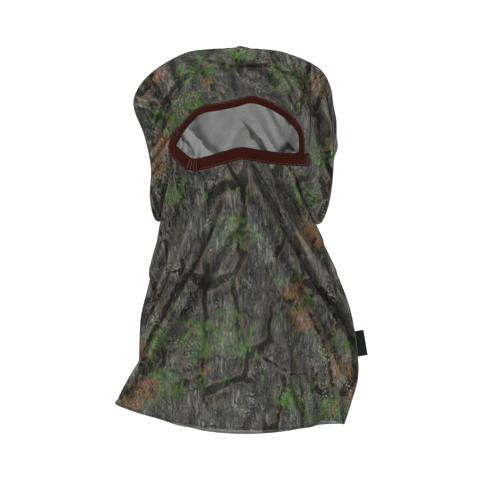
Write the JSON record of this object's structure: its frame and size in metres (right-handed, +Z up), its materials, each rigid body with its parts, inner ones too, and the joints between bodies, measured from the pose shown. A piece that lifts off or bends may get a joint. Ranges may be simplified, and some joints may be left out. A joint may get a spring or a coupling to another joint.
{
  "type": "camo face mask",
  "caption": "Sheer camouflage mesh face mask in its worn shape: a hood and neck skirt with a bound eye opening, overlocked seams and a blank side label.",
  "frame": {"origin": "inside of the crown, where the top of the wearer's head touches the cloth", "axes": "+Z up, the face looks along -Y, +X to the right as seen from the front"},
  "size_m": [0.2766, 0.2219, 0.4163],
  "materials": {
    "mesh_cloth": "sheer printed polyester mesh, matt",
    "binding_tape": "ribbed knit tape, matt",
    "elastic": "braided elastic",
    "tape_thread": "spun sewing thread",
    "seam_thread": "textured overlock thread",
    "label_ribbon": "woven satin ribbon"
  },
  "bodies": {
    "mask": {"front_panel": "mesh_cloth", "back_panel": "mesh_cloth", "upper_eye_binding": "binding_tape", "lower_eye_band": "binding_tape", "upper_binding_elastic": "elastic", "lower_band_elastic": "elastic", "upper_binding_topstitch": "tape_thread", "lower_band_topstitch": "tape_thread", "left_corner_bartack": "seam_thread", "right_tail_bartack": "seam_thread", "crown_seam_thread": "seam_thread", "left_side_seam_thread": "seam_thread", "right_side_seam_thread": "seam_thread", "hem_overlock_thread": "seam_thread"},
    "label": {"side_label": "label_ribbon"}
  },
  "joints": [
    {"name": "label_flap", "type": "hinge", "parent": "mask", "child": "label", "pos_m": [0.12653, 0.00128, -0.31929], "axis": [-0.1668, 0, 0.986], "range_deg": [-80, 80]}
  ]
}
